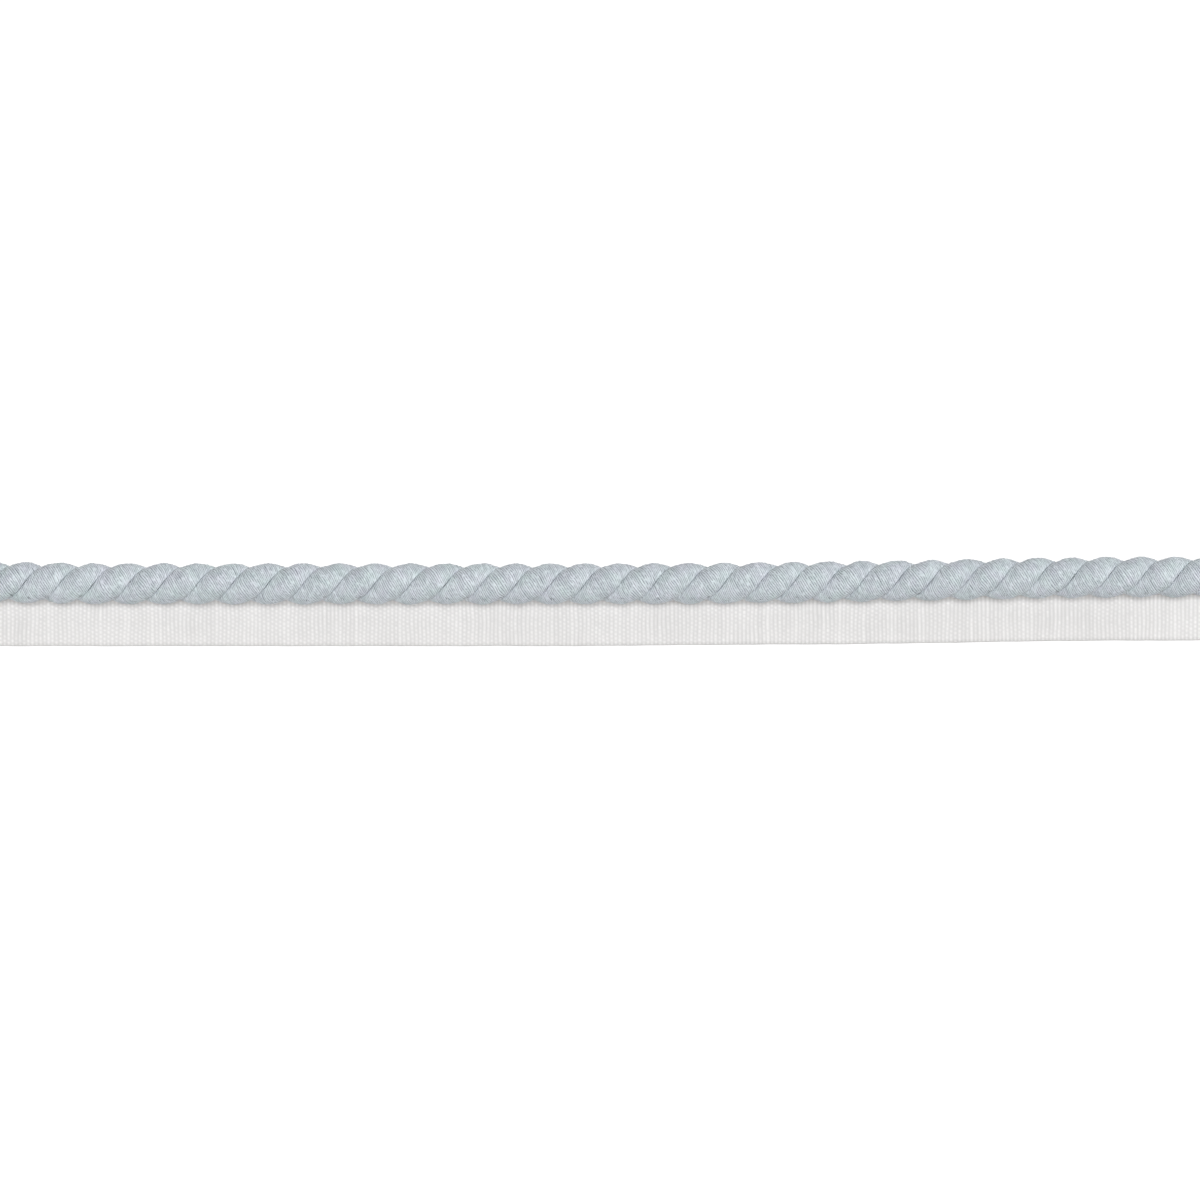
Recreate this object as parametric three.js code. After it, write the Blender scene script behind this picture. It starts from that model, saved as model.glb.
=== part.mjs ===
// A cut length of flanged cord: two gimped cotton plies twisted together and sewn along a woven tape.
//
// Millimetres, +Z up. X runs along the cord. The tape lies flat on the surface at Z = 0 with its free
// edge towards -Y, and the cord lies on the tape's other edge.
import * as THREE from "three";

// Driving dimensions
const CUT_LENGTH = 300; // the piece from cut end to cut end
const CORD_DIAMETER = 10; // from crown to crown
const LAY_LENGTH = 17; // one whole turn of the twist
const FLANGE_WIDTH = 10.25; // the tape that shows beside the cord
const TAPE_WIDTH = 16; // the whole tape, with the part under the cord
const TAPE_THICKNESS = 1;
const CLEARANCE = 0.3; // between pieces that touch in the real cord

// One ply's half of the cord, in the plane across the cord. Its crown is half an ellipse, its two
// shoulders are quarter ellipses, and its flat lies against the other ply.
const SHOULDER_WIDTH = 4; // half the ply's width, where the crown meets the shoulders
const SHOULDER_RISE = 1; // from the cord's axis out to that widest place
const FLAT_HALF_WIDTH = 3.7; // half the width of the flat between the plies

// Steps in the faceted surfaces
const STEPS_PER_LAY = 16;
const CROWN_STEPS = 8;
const TAPE_STEPS = 24;

// Where a groove between the plies reaches the cord's +Y side
const GROOVE_AT_X = 0.4;

// How the piece lies, at even places from one end to the other: how far the cord and the tape's free
// edge stray towards +Y, how far the uneven twist slips along +X, and the share by which one ply is
// fuller and the other leaner.
const LIE = [
  { cordStray: 0.5, edgeStray: 0, slip: 0, fuller: 0.022 },
  { cordStray: 0.05, edgeStray: 0, slip: -0.32, fuller: 0.022 },
  { cordStray: 0, edgeStray: 0, slip: -0.68, fuller: 0.01 },
  { cordStray: 0, edgeStray: 0, slip: -0.4, fuller: 0.004 },
  { cordStray: 0, edgeStray: 0, slip: 0.12, fuller: 0.006 },
  { cordStray: 0, edgeStray: 0, slip: 0.56, fuller: 0.008 },
  { cordStray: 0, edgeStray: 0.05, slip: 0.22, fuller: 0.01 },
  { cordStray: 0.12, edgeStray: 0.3, slip: 0.22, fuller: 0.026 },
  { cordStray: 0.37, edgeStray: 0.42, slip: 0.07, fuller: 0.032 },
  { cordStray: 0.76, edgeStray: 0.66, slip: -0.28, fuller: 0.03 },
  { cordStray: 1.23, edgeStray: 1.1, slip: 0.06, fuller: 0.022 },
  { cordStray: 1.6, edgeStray: 1.35, slip: -0.1, fuller: 0.006 },
  { cordStray: 1.68, edgeStray: 1.4, slip: -0.3, fuller: 0 },
];

const CORD_RADIUS = CORD_DIAMETER / 2;
const CORD_AXIS_Z = TAPE_THICKNESS + CLEARANCE + CORD_RADIUS;
const FREE_EDGE_Y = -CORD_RADIUS - FLANGE_WIDTH;
const START_X = -CUT_LENGTH / 2;
const TWIST_PER_MM = (2 * Math.PI) / LAY_LENGTH;

// A smooth curve through one column of the table, read at a share of the cut length
function columnCurve(name) {
  const points = LIE.map((row, i) => new THREE.Vector3(i, row[name], 0));
  return new THREE.CatmullRomCurve3(points, false, "catmullrom", 0.5);
}

const lieCurves = Object.keys(LIE[0]).map((name) => [name, columnCurve(name)]);

// How the piece lies at one place along X
function lieAt(x) {
  const share = (x - START_X) / CUT_LENGTH;
  return Object.fromEntries(lieCurves.map(([name, curve]) => [name, curve.getPoint(share).y]));
}

// The places along X that split the cut length into even steps
function stations(steps) {
  return Array.from({ length: steps + 1 }, (_, i) => START_X + (CUT_LENGTH * i) / steps);
}

// A closed mesh from its corners and its faces, which list their corners anticlockwise from outside
function closedGeometry(corners, faces) {
  const geometry = new THREE.BufferGeometry();
  geometry.setAttribute("position", new THREE.Float32BufferAttribute(corners.flat(), 3));
  geometry.setIndex(faces.flat());
  geometry.computeVertexNormals();
  return geometry;
}

// The ply's outline across the cord, anticlockwise seen against +X. The first number of a point runs
// out from the cord's axis through the ply's crown, and the second runs across.
function plyOutline() {
  const crown = [];
  for (let i = 0; i <= CROWN_STEPS; i++) {
    const turn = Math.PI * (i / CROWN_STEPS - 0.5);
    const out = SHOULDER_RISE + (CORD_RADIUS - SHOULDER_RISE) * Math.cos(turn);
    crown.push([out, SHOULDER_WIDTH * Math.sin(turn)]);
  }
  const flatOut = CLEARANCE / 2;
  const shoulderOut = SHOULDER_RISE - (SHOULDER_RISE - flatOut) * Math.SQRT1_2;
  const shoulderAcross = FLAT_HALF_WIDTH + (SHOULDER_WIDTH - FLAT_HALF_WIDTH) * Math.SQRT1_2;
  const inside = [
    [shoulderOut, shoulderAcross],
    [flatOut, FLAT_HALF_WIDTH],
    [flatOut, 0],
    [flatOut, -FLAT_HALF_WIDTH],
    [shoulderOut, -shoulderAcross],
  ];
  return [...crown, ...inside];
}

// One ply: its outline, turned step by step about the cord's axis. The side is 1 for the fuller ply
// and -1 for the leaner one, which lie on opposite sides of that axis.
function plyGeometry(side) {
  const outline = plyOutline();
  const places = stations(Math.round((CUT_LENGTH / LAY_LENGTH) * STEPS_PER_LAY));
  const corners = [];
  for (const x of places) {
    const { cordStray, slip, fuller } = lieAt(x);
    const size = 1 + side * fuller;
    const shift = -fuller * CORD_RADIUS;
    // The crown faces away from the groove, a quarter turn on, and the twist runs as a letter Z does
    const turn = -TWIST_PER_MM * (x - slip - GROOVE_AT_X) + (side * Math.PI) / 2;
    for (const [out, across] of outline) {
      const reach = out * size + side * shift;
      const y = reach * Math.cos(turn) - across * size * Math.sin(turn);
      const z = reach * Math.sin(turn) + across * size * Math.cos(turn);
      corners.push([x, cordStray + y, CORD_AXIS_Z + z]);
    }
  }

  const faces = [];
  const count = outline.length;
  for (let ring = 0; ring + 1 < places.length; ring++) {
    for (let j = 0; j < count; j++) {
      const a = ring * count + j;
      const b = ring * count + ((j + 1) % count);
      const c = b + count;
      const d = a + count;
      // The fold between the two faces stands out on the crown and draws in where the plies meet
      if (j < CROWN_STEPS) {
        faces.push([a, b, c], [a, c, d]);
      } else {
        faces.push([a, b, d], [b, c, d]);
      }
    }
  }

  // The cut ends, as fans from the top of the crown
  const hub = CROWN_STEPS / 2;
  const farEnd = (places.length - 1) * count;
  for (let step = 1; step + 1 < count; step++) {
    const j = (hub + step) % count;
    const next = (j + 1) % count;
    faces.push([hub, next, j], [farEnd + hub, farEnd + j, farEnd + next]);
  }
  return closedGeometry(corners, faces);
}

// The tape: a flat sheet whose free edge and back edge follow the cord. A line along it, just clear of
// the cord, parts the flange from the strip that the cord covers.
function tapeGeometry() {
  const places = stations(TAPE_STEPS);
  const lines = 3;
  const corners = [];
  for (const z of [0, TAPE_THICKNESS]) {
    for (const x of places) {
      const { cordStray, edgeStray } = lieAt(x);
      const freeEdge = FREE_EDGE_Y + edgeStray;
      const besideCord = cordStray - CORD_RADIUS - CLEARANCE;
      const backEdge = FREE_EDGE_Y + TAPE_WIDTH + cordStray;
      corners.push([x, freeEdge, z], [x, besideCord, z], [x, backEdge, z]);
    }
  }

  const faces = [];
  const under = (step, line) => step * lines + line;
  const over = (step, line) => places.length * lines + under(step, line);
  for (let step = 0; step < TAPE_STEPS; step++) {
    for (let line = 0; line + 1 < lines; line++) {
      faces.push([over(step, line), over(step + 1, line), over(step + 1, line + 1)]);
      faces.push([over(step, line), over(step + 1, line + 1), over(step, line + 1)]);
      faces.push([under(step, line), under(step + 1, line + 1), under(step + 1, line)]);
      faces.push([under(step, line), under(step, line + 1), under(step + 1, line + 1)]);
    }
    const back = lines - 1;
    faces.push([under(step, 0), under(step + 1, 0), over(step + 1, 0)]);
    faces.push([under(step, 0), over(step + 1, 0), over(step, 0)]);
    faces.push([under(step + 1, back), under(step, back), over(step, back)]);
    faces.push([under(step + 1, back), over(step, back), over(step + 1, back)]);
  }
  for (let line = 0; line + 1 < lines; line++) {
    faces.push([under(0, line + 1), under(0, line), over(0, line)]);
    faces.push([under(0, line + 1), over(0, line), over(0, line + 1)]);
    faces.push([under(TAPE_STEPS, line), under(TAPE_STEPS, line + 1), over(TAPE_STEPS, line + 1)]);
    faces.push([under(TAPE_STEPS, line), over(TAPE_STEPS, line + 1), over(TAPE_STEPS, line)]);
  }
  return closedGeometry(corners, faces);
}

const gimpedCotton = new THREE.MeshStandardMaterial({ color: 0xc0cad0, roughness: 0.7, metalness: 0 });
const wovenTape = new THREE.MeshStandardMaterial({ color: 0xe8e7e5, roughness: 0.9, metalness: 0 });

function piece(name, geometry, material) {
  const mesh = new THREE.Mesh(geometry, material);
  mesh.name = name;
  return mesh;
}

const flangedCord = new THREE.Group();
flangedCord.add(
  piece("ply_a", plyGeometry(1), gimpedCotton),
  piece("ply_b", plyGeometry(-1), gimpedCotton.clone()),
  piece("tape", tapeGeometry(), wovenTape),
);

// The origin is on the surface, under the middle of the whole piece
const middle = new THREE.Box3().setFromObject(flangedCord).getCenter(new THREE.Vector3());
flangedCord.position.set(-middle.x, -middle.y, 0);

export default flangedCord;
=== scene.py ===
"""A cut length of flanged cotton cord: two gimped plies twisted together and sewn along a woven tape.

The frame is the solids' own: X runs along the cord, the tape's free edge points to -Y, and the tape
lies on the surface at Z = 0. Sizes in the classes are millimetres, and meshes are made in metres.
"""

import logging
import math
from dataclasses import dataclass, field, fields
from enum import Enum

import bmesh
import bpy
import numpy as np
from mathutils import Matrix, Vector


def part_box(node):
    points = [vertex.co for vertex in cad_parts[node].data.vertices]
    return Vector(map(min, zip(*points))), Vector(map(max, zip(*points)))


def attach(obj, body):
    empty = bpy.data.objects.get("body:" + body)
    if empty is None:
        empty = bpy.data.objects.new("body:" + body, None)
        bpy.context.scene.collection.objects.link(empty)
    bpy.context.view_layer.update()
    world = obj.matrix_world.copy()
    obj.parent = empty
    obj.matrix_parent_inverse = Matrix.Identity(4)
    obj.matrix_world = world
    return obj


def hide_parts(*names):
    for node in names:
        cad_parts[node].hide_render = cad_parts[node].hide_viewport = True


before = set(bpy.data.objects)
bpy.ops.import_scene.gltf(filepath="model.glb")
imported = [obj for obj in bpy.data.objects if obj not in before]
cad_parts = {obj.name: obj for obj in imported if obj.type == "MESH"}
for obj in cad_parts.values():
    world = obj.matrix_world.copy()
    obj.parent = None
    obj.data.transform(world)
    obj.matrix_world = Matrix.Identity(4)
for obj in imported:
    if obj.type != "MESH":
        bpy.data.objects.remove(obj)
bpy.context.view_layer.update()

MM = 0.001
ROOT = "root"
LOG = logging.getLogger("flanged_cord")

Colour = tuple[float, float, float]
Socket = bpy.types.NodeSocket


class Ply(Enum):
    """The cord's two plies. The value is the side of the cord's axis on which the ply starts."""

    FULLER = 1
    LEANER = -1


@dataclass(frozen=True)
class LieRow:
    """How the piece lies at one place along it.

    Attributes:
        cord_stray: How far the cord strays towards +Y, in millimetres.
        edge_stray: How far the tape's free edge strays towards +Y, in millimetres.
        slip: How far the uneven twist slips along +X, in millimetres.
        fuller: The share by which one ply is fuller and the other leaner.
    """

    cord_stray: float | np.ndarray
    edge_stray: float | np.ndarray
    slip: float | np.ndarray
    fuller: float | np.ndarray


@dataclass(frozen=True)
class Lie:
    """The way the cut length lies on the surface, in rows at even places from end to end."""

    cut_length: float = 300.0
    rows: tuple[LieRow, ...] = (
        LieRow(0.5, 0.0, 0.0, 0.022),
        LieRow(0.05, 0.0, -0.32, 0.022),
        LieRow(0.0, 0.0, -0.68, 0.01),
        LieRow(0.0, 0.0, -0.4, 0.004),
        LieRow(0.0, 0.0, 0.12, 0.006),
        LieRow(0.0, 0.0, 0.56, 0.008),
        LieRow(0.0, 0.05, 0.22, 0.01),
        LieRow(0.12, 0.3, 0.22, 0.026),
        LieRow(0.37, 0.42, 0.07, 0.032),
        LieRow(0.76, 0.66, -0.28, 0.03),
        LieRow(1.23, 1.1, 0.06, 0.022),
        LieRow(1.6, 1.35, -0.1, 0.006),
        LieRow(1.68, 1.4, -0.3, 0.0),
    )

    def at(self, x: np.ndarray) -> LieRow:
        """Reads the rows at places along X, on a smooth curve through them.

        Args:
            x: Places along X, in millimetres.

        Returns:
            A row whose values are arrays like x.
        """
        table = np.array([[getattr(row, column.name) for column in fields(row)] for row in self.rows])
        before = 2 * table[:1] - table[1:2]
        after = 2 * table[-1:] - table[-2:-1]
        table = np.concatenate([before, table, after])
        place = np.clip(np.asarray(x) / self.cut_length + 0.5, 0, 1) * (len(self.rows) - 1)
        step = np.minimum(place.astype(int), len(self.rows) - 2)
        w = (place - step)[..., None]
        p0, p1, p2, p3 = (table[step + i] for i in range(4))
        slope1, slope2 = (p2 - p0) / 2, (p3 - p1) / 2
        mixed = (
            p1
            + slope1 * w
            + (3 * (p2 - p1) - 2 * slope1 - slope2) * w**2
            + (2 * (p1 - p2) + slope1 + slope2) * w**3
        )
        return LieRow(*np.moveaxis(mixed, -1, 0))


@dataclass(frozen=True)
class CordShape:
    """The twisted cord's sizes, in millimetres.

    Attributes:
        diameter: From crown to crown.
        lay_length: One whole turn of the twist.
        shoulder_width: Half a ply's width, where its crown meets its shoulders.
        shoulder_rise: From the cord's axis out to that widest place.
        flat_half_width: Half the width of the flat between the plies.
        flat_gap: The room between the two flats.
        groove_at_x: Where a groove between the plies reaches the cord's +Y side.
        flange_width: The tape that shows beside the cord.
        tape_thickness: The solid tape's thickness.
        clearance: Between the solid tape and the cord.
    """

    diameter: float = 10.0
    lay_length: float = 17.0
    shoulder_width: float = 4.0
    shoulder_rise: float = 1.0
    flat_half_width: float = 3.75
    flat_gap: float = 0.04
    groove_at_x: float = 0.4
    flange_width: float = 10.25
    tape_thickness: float = 1.0
    clearance: float = 0.3

    @property
    def radius(self) -> float:
        """From the cord's axis to a crown."""
        return self.diameter / 2

    @property
    def twist(self) -> float:
        """The turn for each millimetre along X, in radians."""
        return 2 * math.pi / self.lay_length

    @property
    def axis_y(self) -> float:
        """The Y of the cord's axis where it lies straight, from the tape's free edge."""
        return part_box("tape")[0][1] / MM + self.flange_width + self.radius

    @property
    def axis_z(self) -> float:
        """The height of the cord's axis."""
        return self.tape_thickness + self.clearance + self.radius

    def crown_turn(self, x: np.ndarray, slip: np.ndarray, ply: Ply) -> np.ndarray:
        """The angle from +Y towards +Z at which a ply's crown faces.

        Args:
            x: Places along X, in millimetres.
            slip: How far the twist slips there.
            ply: Which ply.

        Returns:
            The angles, in radians.
        """
        return -self.twist * (x - slip - self.groove_at_x) + ply.value * math.pi / 2

    def fullness(self, row: LieRow, ply: Ply) -> tuple[np.ndarray, np.ndarray]:
        """Gives how much larger a ply is at a place and how far its outline shifts out for that.

        Args:
            row: How the piece lies there.
            ply: Which ply.

        Returns:
            The ply's size as a factor, and the shift in millimetres.
        """
        return 1 + ply.value * row.fuller, -row.fuller * self.radius * ply.value

    def surface(self, x: np.ndarray, angle: np.ndarray, lie: Lie, above: float = 0.0) -> np.ndarray:
        """Finds points on the cord's outer surface.

        Args:
            x: Places along X, in millimetres.
            angle: Angles about the cord's axis, from +Y towards +Z, in radians.
            lie: How the piece lies.
            above: How far the points stand out of the surface.

        Returns:
            The points, one row each.
        """
        row = lie.at(x)
        from_crown = angle - self.crown_turn(x, row.slip, Ply.FULLER)
        out = np.abs(np.cos(from_crown))
        across = np.sin(from_crown)
        crown_radius = self.radius - self.shoulder_rise
        reach = self.shoulder_rise * out + np.sqrt(crown_radius**2 - (self.shoulder_rise * across) ** 2)
        y = self.axis_y + row.cord_stray + (reach + above) * np.cos(angle)
        z = self.axis_z + (reach + above) * np.sin(angle)
        return np.stack([x, y, z], -1)


@dataclass(frozen=True)
class SmoothNoise:
    """A smooth random field over places along X and shares of a turn round a ply, from -1 to 1.

    Attributes:
        seed: The seed of its random phases.
        shortest: The shortest wave along X, in millimetres.
        longest: The longest wave along X, in millimetres.
        around: The most waves round the ply.
        waves: How many waves are summed.
        spread: How far the sum spreads about 0.
    """

    seed: int
    shortest: float
    longest: float
    around: int = 3
    waves: int = 12
    spread: float = 0.7

    def at(self, x: np.ndarray, turn: np.ndarray) -> np.ndarray:
        """Reads the field.

        Args:
            x: Places along X, in millimetres.
            turn: Shares of a turn, from -0.5 to 0.5.

        Returns:
            The field at those places.
        """
        rng = np.random.default_rng(self.seed)
        total = 0.0
        for _ in range(self.waves):
            length = math.exp(rng.uniform(math.log(self.shortest), math.log(self.longest)))
            lobes = int(rng.integers(0, self.around + 1)) * int(rng.choice([-1, 1]))
            phase = rng.uniform(0, 2 * math.pi)
            total = total + np.sin(2 * math.pi * (x / length + lobes * turn) + phase)
        return total / math.sqrt(self.waves) * self.spread


def thread_noise(rng: np.random.Generator, threads: int, turns: np.ndarray, waves: int) -> np.ndarray:
    """Makes a random field that changes along each thread and from each thread to the next.

    Args:
        rng: The random numbers.
        threads: How many threads.
        turns: Places along a thread, as one row of shares from -0.5 to 0.5.
        waves: The most waves along a thread.

    Returns:
        A row for each thread, spread about 0 by about 1.
    """
    total = np.zeros((threads, turns.shape[-1]))
    for wave in range(1, waves + 1):
        strength = rng.standard_normal((threads, 1))
        phase = rng.uniform(0, 2 * math.pi, (threads, 1))
        total += strength * np.cos(2 * math.pi * wave * turns + phase)
    return total / math.sqrt(waves / 2)


@dataclass
class PlyOutline:
    """One ply's half of the cord, cut straight across: a crown, two shoulders and a flat.

    Attributes:
        shape: The cord's shape.
        crown_columns: How many steps the crown has.
        shoulder_columns: How many steps each shoulder has.
        flat_columns: How many steps each half of the flat has.
        middle: From the cord's axis to the ply's own line, in millimetres.
        lead_rounds: How many rounds the search for the leads takes.
        lead_share: The share of what is left that each round makes up.
        out: Each point's place, out from the cord's axis through the crown.
        across: Each point's place, across the ply.
    """

    shape: CordShape
    crown_columns: int = 16
    shoulder_columns: int = 2
    flat_columns: int = 2
    middle: float = 2.5
    lead_rounds: int = 60
    lead_share: float = 0.4
    out: np.ndarray = field(init=False)
    across: np.ndarray = field(init=False)

    def __post_init__(self) -> None:
        """Works out the outline's points, anticlockwise from the middle of the flat."""
        s = self.shape
        flat_out = s.flat_gap / 2
        crown = np.linspace(-0.5, 0.5, self.crown_columns + 1) * math.pi
        crown_out = s.shoulder_rise + (s.radius - s.shoulder_rise) * np.cos(crown)
        crown_points = np.stack([crown_out, s.shoulder_width * np.sin(crown)], 1)
        bend = np.linspace(0, 0.5, self.shoulder_columns + 1)[1:] * math.pi
        shoulder_out = s.shoulder_rise - (s.shoulder_rise - flat_out) * np.sin(bend)
        shoulder_across = s.flat_half_width + (s.shoulder_width - s.flat_half_width) * np.cos(bend)
        shoulder = np.stack([shoulder_out, shoulder_across], 1)
        flat = np.linspace(s.flat_half_width, 0, self.flat_columns + 1)[1:-1]
        flat_half = np.stack([np.full(len(flat), flat_out), flat], 1)
        half = np.concatenate([shoulder, flat_half])
        start = np.array([[flat_out, 0.0]])
        other_half = half[::-1] * np.array([1.0, -1.0])
        points = np.concatenate([start, other_half, crown_points, half])
        self.out, self.across = points[:, 0], points[:, 1]

    @property
    def count(self) -> int:
        """How many points the outline has."""
        return len(self.out)

    def normals(self) -> np.ndarray:
        """Works out which way the outline faces.

        Returns:
            The outward normals, one row for each point.
        """
        ahead = np.stack([np.roll(self.out, -1), np.roll(self.across, -1)], 1)
        behind = np.stack([np.roll(self.out, 1), np.roll(self.across, 1)], 1)
        along = ahead - behind
        normal = np.stack([along[:, 1], -along[:, 0]], 1)
        return normal / np.linalg.norm(normal, axis=1, keepdims=True)

    def girth(self) -> float:
        """The outline's length, in millimetres."""
        points = np.stack([self.out, self.across], 1)
        return float(np.linalg.norm(points - np.roll(points, 1, axis=0), axis=1).sum())

    def turns(self) -> np.ndarray:
        """Measures how far along the outline each point is.

        Returns:
            Each point's share of a turn round the ply, from -0.5.
        """
        points = np.stack([self.out, self.across], 1)
        steps = np.linalg.norm(points - np.roll(points, 1, axis=0), axis=1)
        steps[0] = 0
        whole = steps.sum() + np.linalg.norm(points[0] - points[-1])
        return np.cumsum(steps) / whole - 0.5

    def leads(self) -> np.ndarray:
        """Finds how far along X a plane square to the ply's own line meets each point.

        Returns:
            One lead for each point, in millimetres.
        """
        k = self.shape.twist
        x = np.zeros(self.count)
        for _ in range(self.lead_rounds):
            aim = -self.middle * k * (self.out * np.sin(k * x) + self.across * np.cos(k * x))
            x += self.lead_share * (aim - x)
        return -x


class Blend(Enum):
    """How a mix puts its second colour over its first. The value is Blender's name for it."""

    MIX = "MIX"
    MULTIPLY = "MULTIPLY"


class NodeSheet:
    """A material's node tree, with short calls for the nodes that these finishes use.

    Attributes:
        FIRST_COLOUR: The place of the first colour among the Mix node's inputs.
        SECOND_COLOUR: The place of the second one.
        MIXED_COLOUR: The place of the mixed colour among its outputs.
        SHEEN_ROUGHNESS: The roughness of every finish's sheen.
    """

    FIRST_COLOUR = 6
    SECOND_COLOUR = 7
    MIXED_COLOUR = 2
    SHEEN_ROUGHNESS = 0.5

    def __init__(self, name: str) -> None:
        """Starts a material.

        Args:
            name: The material's name.
        """
        self.material = bpy.data.materials.new(name)
        self.material.use_nodes = True
        self.tree = self.material.node_tree
        self.tree.nodes.clear()

    def link(self, source: Socket, target: Socket) -> None:
        """Links two sockets."""
        self.tree.links.new(source, target)

    def principled(self, roughness: float, sheen: float = 0.0) -> bpy.types.Node:
        """Adds the surface shader and the output.

        Args:
            roughness: The shader's roughness.
            sheen: The weight of its sheen.

        Returns:
            The shader's node.
        """
        bsdf = self.tree.nodes.new("ShaderNodeBsdfPrincipled")
        output = self.tree.nodes.new("ShaderNodeOutputMaterial")
        bsdf.inputs["Roughness"].default_value = roughness
        bsdf.inputs["Sheen Weight"].default_value = sheen
        bsdf.inputs["Sheen Roughness"].default_value = self.SHEEN_ROUGHNESS
        self.link(bsdf.outputs["BSDF"], output.inputs["Surface"])
        return bsdf

    def attribute(self, name: str) -> Socket:
        """Reads a number that the mesh holds at each point.

        Args:
            name: The number's name.

        Returns:
            The number's socket.
        """
        node = self.tree.nodes.new("ShaderNodeAttribute")
        node.attribute_name = name
        return node.outputs["Fac"]

    def place(self) -> Socket:
        """Gives the place on the piece."""
        return self.tree.nodes.new("ShaderNodeTexCoord").outputs["Object"]

    def sum(self, values: list[tuple[Socket, float]], start: float = 0.0) -> Socket:
        """Adds numbers, each times its own factor.

        Args:
            values: Sockets and their factors.
            start: The number that they are added to.

        Returns:
            The sum's socket.
        """
        total = None
        for socket, factor in values:
            node = self.tree.nodes.new("ShaderNodeMath")
            node.operation = "MULTIPLY_ADD"
            self.link(socket, node.inputs[0])
            node.inputs[1].default_value = factor
            if total is None:
                node.inputs[2].default_value = start
            else:
                self.link(total, node.inputs[2])
            total = node.outputs[0]
        return total

    def vector(self, x: Socket, y: Socket) -> Socket:
        """Joins two numbers into a vector.

        Args:
            x: The first number.
            y: The second number.

        Returns:
            The vector's socket.
        """
        node = self.tree.nodes.new("ShaderNodeCombineXYZ")
        self.link(x, node.inputs["X"])
        self.link(y, node.inputs["Y"])
        return node.outputs["Vector"]

    def mix(
        self,
        factor: Socket | float,
        first: Socket | Colour,
        second: Socket | Colour,
        blend: Blend = Blend.MIX,
    ) -> Socket:
        """Mixes two colours.

        Args:
            factor: From 0, the first colour, to 1, the second put over it.
            first: A colour, or a socket that gives one.
            second: Likewise.
            blend: How the second colour is put over the first.

        Returns:
            The mixed colour's socket.
        """
        node = self.tree.nodes.new("ShaderNodeMix")
        node.data_type = "RGBA"
        node.blend_type = blend.value
        if isinstance(factor, float):
            node.inputs["Factor"].default_value = factor
        else:
            self.link(factor, node.inputs["Factor"])
        for value, place in ((first, self.FIRST_COLOUR), (second, self.SECOND_COLOUR)):
            if isinstance(value, tuple):
                node.inputs[place].default_value = (*value, 1.0)
            else:
                self.link(value, node.inputs[place])
        return node.outputs[self.MIXED_COLOUR]

    def noise(self, vector: Socket, scale: float, detail: float) -> Socket:
        """Adds noise.

        Args:
            vector: The place that it is read at.
            scale: How many cells to one unit of the place.
            detail: How many finer layers.

        Returns:
            The noise's socket.
        """
        node = self.tree.nodes.new("ShaderNodeTexNoise")
        node.inputs["Scale"].default_value = scale
        node.inputs["Detail"].default_value = detail
        self.link(vector, node.inputs["Vector"])
        return node.outputs["Fac"]

    def bump(self, height: Socket, depth: float, bsdf: bpy.types.Node) -> None:
        """Raises a shader's surface by a height.

        Args:
            height: The height, from 0 to 1.
            depth: How much a height of 1 is, in metres.
            bsdf: The shader's node.
        """
        node = self.tree.nodes.new("ShaderNodeBump")
        node.inputs["Distance"].default_value = depth
        self.link(height, node.inputs["Height"])
        self.link(node.outputs["Normal"], bsdf.inputs["Normal"])


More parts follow.
